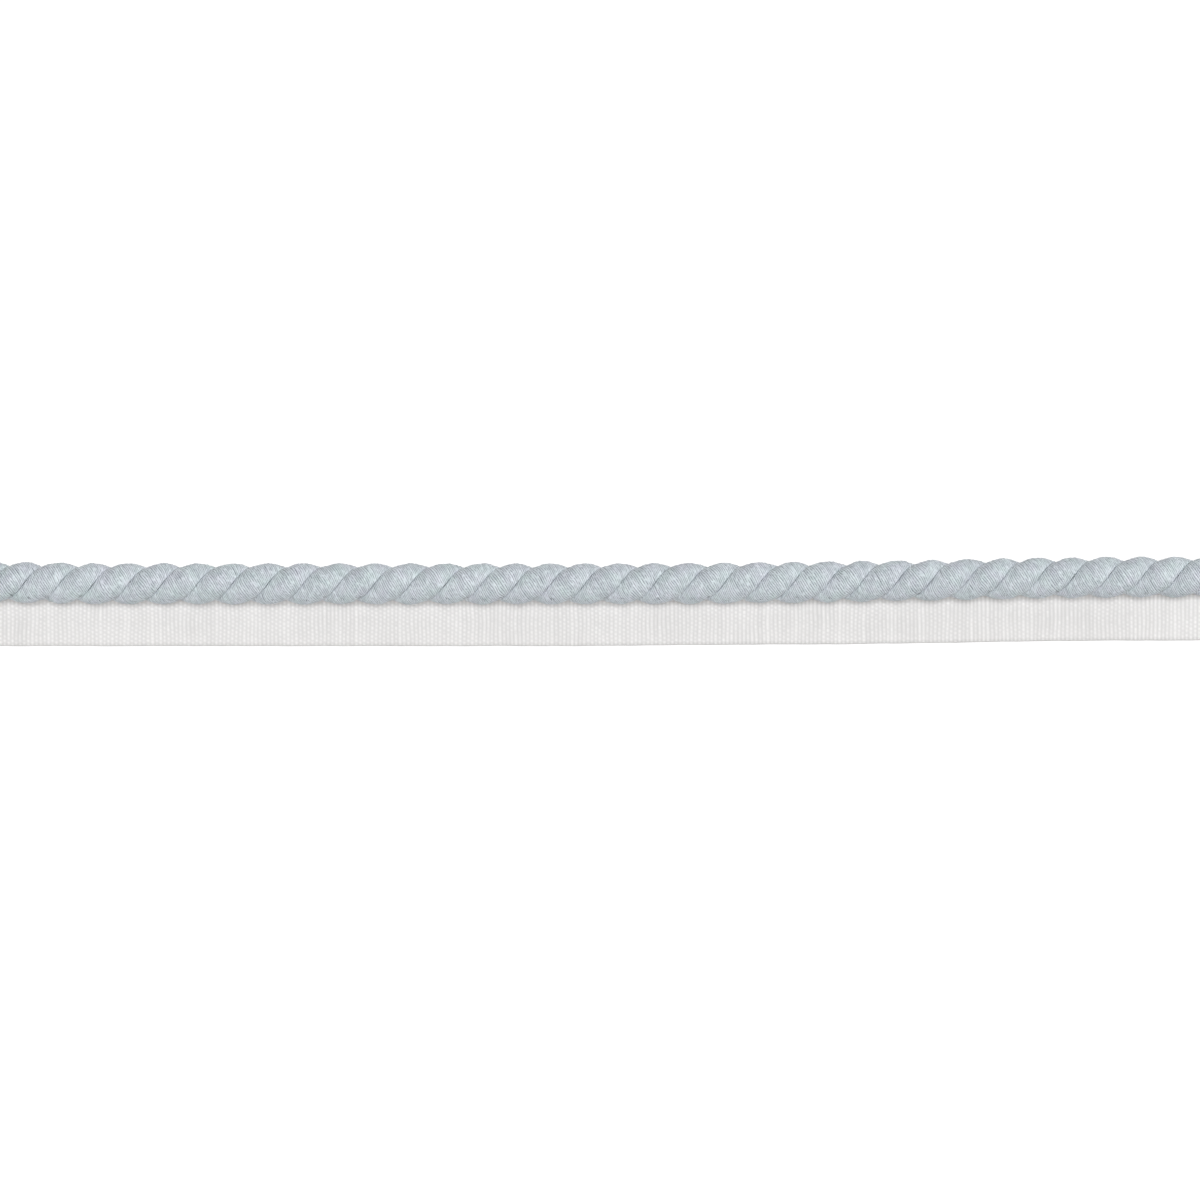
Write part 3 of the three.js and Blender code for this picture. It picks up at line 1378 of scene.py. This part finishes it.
@dataclass(frozen=True)
class LooseFibres:
    """A few fine fibres that have worked loose from the cord's surface.

    Sizes are millimetres, and angles are about the cord's axis, from +Y towards +Z.

    Attributes:
        lie: How the piece lies.
        shape: The cord's shape.
        count: How many fibres there are.
        radius: A fibre's radius where it leaves the cord.
        thinning: Its radius there and at its tip, as shares.
        end_margin: How near to a cut end a fibre may start.
        angles: The range of angles at which fibres start.
        lengths: The range of their lengths.
        curl: The spread of how far they curl, in radians.
        rooted: How deep their ends lie in the wraps.
        heights: The range of heights that they would stand at.
        arches: The range of how far round its arch a fibre goes, in radians.
        steps: How many points a fibre has.
        seed: The seed of all these.
    """

    lie: Lie
    shape: CordShape
    count: int = 260
    radius: float = 0.016
    thinning: tuple[float, float] = (1.1, 0.1)
    end_margin: float = 3.0
    angles: tuple[float, float] = (-0.4, math.pi + 0.2)
    lengths: tuple[float, float] = (0.5, 1.7)
    curl: float = 1.2
    rooted: float = 0.08
    heights: tuple[float, float] = (0.06, 0.4)
    arches: tuple[float, float] = (1.6, 3.0)
    steps: int = 5
    seed: int = 97

    def build(self) -> bpy.types.Object:
        """Builds the fibres as one mesh.

        Returns:
            The fibres' object.
        """
        bundle = ThreadBundle("loose_fibres", sides=3)
        rng = np.random.default_rng(self.seed)
        half = self.lie.cut_length / 2 - self.end_margin
        share = np.linspace(0, 1, self.steps)
        radius = self.radius * np.linspace(*self.thinning, self.steps)
        for _ in range(self.count):
            x = rng.uniform(-half, half)
            angle = rng.uniform(*self.angles)
            length = rng.uniform(*self.lengths)
            heading = rng.uniform(0, 2 * math.pi)
            course = heading + rng.normal(0, self.curl) * share
            xs = x + np.cumsum(np.cos(course)) * length / self.steps
            angles = angle + np.cumsum(np.sin(course)) * length / self.steps / self.shape.radius
            base = self.shape.surface(xs, angles, self.lie, -self.rooted)
            top = self.shape.surface(xs, angles, self.lie, rng.uniform(*self.heights))
            lift = np.sin(share * rng.uniform(*self.arches))[:, None]
            bundle.add(base + (top - base) * lift, radius, rng.uniform(0, 1))
        return bundle.object()

    def dress(self, piece: bpy.types.Object) -> None:
        """Gives the fibres their finish."""
        dress(piece, LOOSE_COTTON.material())


@dataclass(frozen=True)
class TapeRound:
    """The way once round the tape's cross-section, as one row of values for each of its points.

    Attributes:
        v: The share of the tape's width, from its free edge to its back edge.
        bulge: How far a rounded edge stands out.
        high: The share of the tape's thickness, from its underside to its top.
        top: 1 on the top, and 0 elsewhere.
        under: 1 on the underside, and 0 elsewhere.
        edge: 1 on the free edge's round, and 0 elsewhere.
    """

    v: np.ndarray
    bulge: np.ndarray
    high: np.ndarray
    top: np.ndarray
    under: np.ndarray
    edge: np.ndarray


@dataclass
class WovenTape:
    """The ribbed tape: its wefts run across it, and its warp ends pass over them in turn.

    Sizes are millimetres.

    Attributes:
        lie: How the piece lies.
        shape: The cord's shape.
        name: The piece's name.
        width: The tape's whole width.
        thickness: The tape's thickness.
        rib_pitch: From one weft rib to the next.
        warp_pitch: From one warp end to the next.
        rib_steps: How many rows of points a rib has.
        warp_steps: How many columns a warp end has.
        rib_height: How high a rib stands.
        warp_height: How high a warp end stands where it passes over a rib.
        wander: How far the free edge wanders.
        waver: How far the ribs waver.
        rounding: How far the edges are rounded.
        lifted: How far the tape's back rises under the cord.
        lift_range: Where it starts to rise and has risen, as shares of the width.
        shade_range: Where the painted shade beside the cord starts and is darkest.
        selvedge_range: Where the free edge's darker strip starts to end and has ended.
        showing: How much the warp ends show in the middle of the piece, from 0 to 1.
        showing_change: How much less they show towards its right end.
        showing_stretches: How much that changes from stretch to stretch.
        showing_range: The range that it keeps to.
        crossing_spread: The spread of the heights of the single crossings, as a share.
        crossing_tone: The spread of their tones.
        warp_highlight: How much paler a crossing is where the warp stands over a rib, and darker where it
            dips under: painted highlight and shade.
        weft_tone: The spread of the wefts' tones.
        between_shade: How dark the painted shade between two ribs is, from 0 to 1.
        between_power: How narrow that dark is, as a power.
        between_lost: How much of that is lost where the warp shows.
        cord_shade: How dark the painted shade beside the cord is.
        selvedge_shade: How dark its free edge's strip is: partly the selvedge yarn's greyer tone, partly
            painted shade.
        edge_shade: How dark the painted shade on the round of its free edge is.
        under_steps: How many columns its underside has.
        edge_steps: How many points round each edge.
        tip_radius: The radius of a warp end's cut tip.
        tip_taper: The radius at each of the tip's points, as a share.
        tip_inside: How far in a tip starts.
        tip_reach: The range by which the tips stand out of the cut.
        tip_height: A tip's height above the tape's underside.
        tip_stray: The spread of how far a tip leans along the cut.
        tip_sag: The range by which a tip leans down or up.
        tip_tones: The range of the tips' tones.
        seed: The seed of the weave and the tips.
    """

    lie: Lie
    shape: CordShape
    name: str = "woven_tape"
    width: float = 16.0
    thickness: float = 0.7
    rib_pitch: float = 0.978
    warp_pitch: float = 0.54
    rib_steps: int = 4
    warp_steps: int = 2
    rib_height: float = 0.07
    warp_height: float = 0.1
    wander: float = 0.06
    waver: float = 0.14
    rounding: float = 0.3
    lifted: float = 0.5
    lift_range: tuple[float, float] = (0.62, 0.84)
    shade_range: tuple[float, float] = (0.595, 0.645)
    selvedge_range: tuple[float, float] = (0.02, 0.04)
    showing: float = 0.65
    showing_change: float = 0.3
    showing_stretches: float = 0.4
    showing_range: tuple[float, float] = (0.1, 1.2)
    crossing_spread: float = 0.4
    crossing_tone: float = 0.15
    warp_highlight: float = 0.6
    weft_tone: float = 0.1
    between_shade: float = 0.5
    between_power: float = 1.5
    between_lost: float = 0.35
    cord_shade: float = 0.2
    selvedge_shade: float = 0.2
    edge_shade: float = 0.8
    under_steps: int = 8
    edge_steps: int = 4
    tip_radius: float = 0.2
    tip_taper: tuple[float, ...] = (1.0, 1.0, 1.0, 0.9, 0.55)
    tip_inside: float = 0.5
    tip_reach: tuple[float, float] = (0.12, 0.75)
    tip_height: float = 0.36
    tip_stray: float = 0.16
    tip_sag: tuple[float, float] = (-0.14, 0.1)
    tip_tones: tuple[float, float] = (0.2, 0.9)
    seed: int = 41

    @property
    def warp_count(self) -> int:
        """How many warp ends lie side by side in the tape."""
        return int(round(self.width / self.warp_pitch))

    def build(self) -> bpy.types.Object:
        """Builds the tape as a closed sheet.

        Returns:
            The tape's object.
        """
        half = self.lie.cut_length / 2
        steps = int(round(2 * half / self.rib_pitch * self.rib_steps))
        x = np.linspace(-half, half, steps + 1)[:, None]
        way = self.way_round()
        relief, tone, painted_shade = self.weave(x, way)
        free, back = self.edges(self.lie.at(x))
        noise = SmoothNoise(self.seed, shortest=3.0, longest=40.0)
        wander = self.wander * noise.at(x, np.zeros_like(x))
        y = free + (back - free) * way.v + way.bulge + wander * (1 - way.v)
        z = self.lift(way.v) + way.high * self.thickness + relief
        points = np.stack(np.broadcast_arrays(x, y, z), -1)

        across = points.shape[1]
        row = np.arange(points.shape[0] - 1)[:, None] * across
        column = np.arange(across)[None, :]
        a = row + column
        b = row + (column + 1) % across
        faces = np.stack([a, a + across, b + across, b], -1).reshape(-1, 4)
        values = {
            "tone": np.broadcast_to(tone, points.shape[:2]).ravel(),
            "painted_shade": np.broadcast_to(painted_shade, points.shape[:2]).ravel(),
        }
        piece = MeshPiece(self.name, points.reshape(-1, 3), faces.tolist(), values).object()
        self.close_ends(piece)
        return piece

    def dress(self, tape: bpy.types.Object, tips: bpy.types.Object) -> None:
        """Gives the tape and its tips their finish, and lets the tape stand for its solid.

        Args:
            tape: The tape's object.
            tips: The warp ends' object.
        """
        cotton = TAPE_COTTON.material()
        dress(tape, cotton)
        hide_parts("tape")
        dress(tips, cotton)

    def edges(self, row: LieRow) -> tuple[np.ndarray, np.ndarray]:
        """Finds where the flat part of the tape ends at its free edge and at its back edge.

        Args:
            row: How the piece lies there.

        Returns:
            The Y of the two ends, in millimetres.
        """
        s = self.shape
        straight = s.axis_y - s.radius - s.flange_width
        free = straight + row.edge_stray + self.rounding
        back = straight + self.width + row.cord_stray - self.rounding
        return free, back

    def lift(self, v: np.ndarray) -> np.ndarray:
        """Works out how far the tape rises under the cord.

        Args:
            v: Shares of the tape's width, from its free edge.

        Returns:
            The rise at each, in millimetres.
        """
        return self.lifted * ease(v, *self.lift_range)

    def way_round(self) -> TapeRound:
        """Goes once round the cross-section: the top, the free edge, the underside and the back edge.

        Returns:
            The points on the way.
        """
        top_v = np.linspace(1, 0, self.warp_count * self.warp_steps + 1)
        under_v = np.linspace(0, 1, self.under_steps + 1)
        turn = np.linspace(0, math.pi, self.edge_steps + 2)[1:-1]
        out = np.sin(turn) * self.rounding
        high = np.cos(turn) * 0.5 + 0.5

        counts = (len(top_v), len(turn), len(under_v), len(turn))

        def joined(*parts: np.ndarray | float) -> np.ndarray:
            """Joins the values of the four parts of the way. A single number is a whole part's value."""
            return np.concatenate([np.full(n, part) for n, part in zip(counts, parts)])[None, :]

        return TapeRound(
            v=joined(top_v, 0.0, under_v, 1.0),
            bulge=joined(0.0, -out, 0.0, out[::-1]),
            high=joined(1.0, high, 0.0, high[::-1]),
            top=joined(1.0, 0.0, 0.0, 0.0),
            under=joined(0.0, 0.0, 1.0, 0.0),
            edge=joined(0.0, 1.0, 0.0, 0.0),
        )

    def weave(self, x: np.ndarray, way: TapeRound) -> tuple[np.ndarray, np.ndarray, np.ndarray]:
        """Weaves the tape: ribs across it, with the warp ends passing over and under them in turn.

        Args:
            x: Places along X, in millimetres.
            way: The way round the cross-section.

        Returns:
            Each point's height above the plain sheet, its tone, and how much painted shade it has, from 0
            to 1.
        """
        rng = np.random.default_rng(self.seed)
        v = way.v
        half = self.lie.cut_length / 2
        turn = v - 0.5
        shift = self.waver * SmoothNoise(self.seed + 1, shortest=4.0, longest=50.0, around=2).at(x, turn)
        rib_place = (x + shift) / self.rib_pitch
        pick = np.floor(rib_place + 0.5).astype(int)
        pick -= pick.min()
        warp = v * self.warp_count
        over = np.cos(math.pi * (np.round(warp * self.warp_steps) / self.warp_steps + pick))
        weft = self.weft_tone * rng.standard_normal(pick.max() + 1)[pick]
        cross = rng.standard_normal((pick.max() + 1, self.warp_count + 2))
        spot = cross[pick, np.broadcast_to(np.round(warp).astype(int), pick.shape)]
        crest = np.cos(math.pi * rib_place) ** 2

        stretches = SmoothNoise(self.seed + 2, shortest=8.0, longest=60.0, around=2).at(x, turn)
        shown = self.showing - self.showing_change * x / half + self.showing_stretches * stretches
        shown = shown.clip(*self.showing_range)
        ribs = self.rib_height * (crest - 1)
        stand = over * shown * (1 + self.crossing_spread * spot)
        crossings = self.warp_height * crest * (stand - 1) / 2
        relief = way.top * (ribs + crossings) - way.under * ribs
        # Painted highlight and shade: a raised crossing is paler and a sunk one darker, added to the
        # crossing's random tone.
        crossing_tone = self.warp_highlight * shown * over + self.crossing_tone * spot
        tone = 0.5 + weft + way.top * crest * crossing_tone

        # Painted shade: darker on both faces between the ribs, beside the cord where its shadow falls, on
        # the free edge's strip (there partly the selvedge's greyer yarn) and on the edge's round.
        between = self.between_shade * (1 - crest) ** self.between_power * (1 - self.between_lost * shown)
        beside_cord = self.cord_shade * ease(v, *self.shade_range)
        selvedge = self.selvedge_shade * (1 - ease(v, *self.selvedge_range))
        on_top = between + beside_cord + selvedge
        painted_shade = way.top * on_top + way.under * between + way.edge * self.edge_shade
        return relief, tone.clip(0, 1), painted_shade

    def close_ends(self, piece: bpy.types.Object) -> None:
        """Closes the tape's two cut ends.

        Args:
            piece: The tape's object.
        """
        work = bmesh.new()
        work.from_mesh(piece.data)
        rims = [e for e in work.edges if e.is_boundary]
        lids = bmesh.ops.holes_fill(work, edges=rims, sides=0)["faces"]
        for lid in lids:
            lid.smooth = False
        bmesh.ops.triangulate(work, faces=lids)
        bmesh.ops.recalc_face_normals(work, faces=work.faces[:])
        work.to_mesh(piece.data)
        work.free()

    def build_warp_ends(self) -> bpy.types.Object:
        """Builds the cut tips of the tape's warp ends as one mesh.

        Returns:
            The tips' object.
        """
        bundle = ThreadBundle("tape_warp_ends")
        rng = np.random.default_rng(self.seed + 5)
        radius = self.tip_radius * np.array(self.tip_taper)
        share = np.linspace(0, 1, len(radius))
        for end in (-1, 1):
            x = end * self.lie.cut_length / 2
            free, back = self.edges(self.lie.at(np.array(x)))
            for i in range(self.warp_count):
                v = (i + 0.5) / self.warp_count
                reach = rng.uniform(*self.tip_reach)
                xs = x + end * (-self.tip_inside + (self.tip_inside + reach) * share)
                ys = free + (back - free) * v + rng.normal(0, self.tip_stray) * share**2
                zs = self.lift(v) + self.tip_height + rng.uniform(*self.tip_sag) * share**2
                bundle.add(np.stack([xs, ys, zs], 1), radius, rng.uniform(*self.tip_tones))
        return bundle.object()


@dataclass(frozen=True)
class Lamp:
    """One of the studio's large soft lights.

    Attributes:
        name: Its name.
        height: How high it stands above the table, in degrees.
        bearing: Where it stands, from +X towards +Y, in degrees.
        strength: Its strength.
        softness: How wide it looks from the table, in degrees.
        colour: Its colour.
    """

    name: str
    height: float
    bearing: float
    strength: float
    softness: float
    colour: Colour = (1.0, 1.0, 1.0)

    def hang(self) -> None:
        """Hangs the light."""
        lamp = bpy.data.lights.new(self.name, "SUN")
        lamp.energy = self.strength
        lamp.angle = math.radians(self.softness)
        lamp.color = self.colour
        light = bpy.data.objects.new(self.name, lamp)
        turn = math.radians(90 - self.height)
        light.rotation_euler = (turn, 0, math.radians(self.bearing + 90))
        bpy.context.scene.collection.objects.link(light)


@dataclass
class Studio:
    """The white light table, the soft lights round it and the camera above.

    Attributes:
        shape: The cord's shape.
        view_width: How much of the table the camera sees, in millimetres.
        view_middle_below_axis: From the cord's axis to the middle of the view, in millimetres.
        focal_length: The camera's focal length, in millimetres.
        sensor: The camera's sensor width, in millimetres.
        floor_size: The table's width, in metres.
        floor_colour: The table's own colour, dark so that it throws no light back on the piece.
        floor_roughness: The table's roughness.
        floor_glow: How brightly the table glows, which keeps it white without a shadow.
        room_strength: The strength of the room's even light.
        lamps: The soft lights.
    """

    shape: CordShape
    view_width: float = 292.7
    view_middle_below_axis: float = 3.95
    focal_length: float = 200.0
    sensor: float = 36.0
    floor_size: float = 6.0
    floor_colour: Colour = (0.05, 0.05, 0.05)
    floor_roughness: float = 0.9
    floor_glow: float = 1.05
    room_strength: float = 0.03
    lamps: tuple[Lamp, ...] = (
        Lamp("overhead", 88, 0, 3.3, 30),
        Lamp("far", 36, 60, 0.25, 30, (1.0, 0.94, 0.9)),
        Lamp("near", 36, 265, 0.45, 30, (1.0, 0.94, 0.88)),
        Lamp("low_right", 13, 28, 0.95, 30),
    )

    def build(self) -> None:
        """Sets up the whole studio."""
        self.build_floor()
        self.build_room()
        self.build_camera()
        for lamp in self.lamps:
            lamp.hang()

    def build_floor(self) -> None:
        """Lays the white light table under the piece."""
        half = self.floor_size / 2
        corners = [(-half, -half, 0), (half, -half, 0), (half, half, 0), (-half, half, 0)]
        mesh = bpy.data.meshes.new("floor")
        mesh.from_pydata(corners, [], [(0, 1, 2, 3)])
        floor = bpy.data.objects.new("floor", mesh)
        bpy.context.scene.collection.objects.link(floor)
        nodes = NodeSheet("table_white")
        bsdf = nodes.principled(self.floor_roughness)
        bsdf.inputs["Base Color"].default_value = (*self.floor_colour, 1)
        bsdf.inputs["Specular IOR Level"].default_value = 0.0
        bsdf.inputs["Emission Color"].default_value = (1, 1, 1, 1)
        bsdf.inputs["Emission Strength"].default_value = self.floor_glow
        floor.data.materials.append(nodes.material)

    def build_room(self) -> None:
        """Gives the room its even white light."""
        world = bpy.data.worlds.new("room")
        world.use_nodes = True
        background = world.node_tree.nodes["Background"]
        background.inputs["Color"].default_value = (1, 1, 1, 1)
        background.inputs["Strength"].default_value = self.room_strength
        bpy.context.scene.world = world

    def build_camera(self) -> None:
        """Sets the camera straight above the piece."""
        data = bpy.data.cameras.new("camera")
        data.lens = self.focal_length
        data.sensor_width = self.sensor
        camera = bpy.data.objects.new("camera", data)
        distance = self.focal_length / self.sensor * self.view_width
        middle_y = self.shape.axis_y - self.view_middle_below_axis
        camera.location = (0, middle_y * MM, (self.shape.axis_z + distance) * MM)
        bpy.context.scene.collection.objects.link(camera)
        bpy.context.scene.camera = camera
        bpy.context.scene.view_settings.view_transform = "Standard"


def declare_cord(
    lie: Lie, shape: CordShape, places: int = 31
) -> None:
    """Args:
        lie: How the piece lies.
        shape: The cord's shape.
        places: How many points its path has.
    """
    x = np.linspace(-0.5, 0.5, places) * lie.cut_length
    y = shape.axis_y + lie.at(x).cord_stray


def report(piece: bpy.types.Object) -> None:
    """Logs a piece's name and how many faces it has."""
    LOG.info("%s has %d faces", piece.name, len(piece.data.polygons))


def main() -> None:
    """Builds every piece in order, dresses it and reports it."""
    logging.basicConfig(level=logging.INFO, format="%(name)s: %(message)s")
    lie = Lie()
    shape = CordShape()
    Studio(shape).build()

    stitching = Stitching(lie, shape)
    winding = Winding()
    gimp = GimpFinish().material()
    for node, ply, seed in (("ply_a", Ply.FULLER, 11), ("ply_b", Ply.LEANER, 23)):
        maker = GimpedPly(f"gimped_{node}", node, ply, lie, shape, winding, stitching, seed)
        piece = maker.build()
        maker.dress(piece, gimp)
        report(piece)

    for maker in (CoreEnds(lie, shape), stitching, LooseFibres(lie, shape)):
        piece = maker.build()
        maker.dress(piece)
        report(piece)

    weaver = WovenTape(lie, shape)
    tape = weaver.build()
    warp_ends = weaver.build_warp_ends()
    weaver.dress(tape, warp_ends)
    report(tape)
    report(warp_ends)

    declare_cord(lie, shape)


if __name__ == "__main__":
    main()
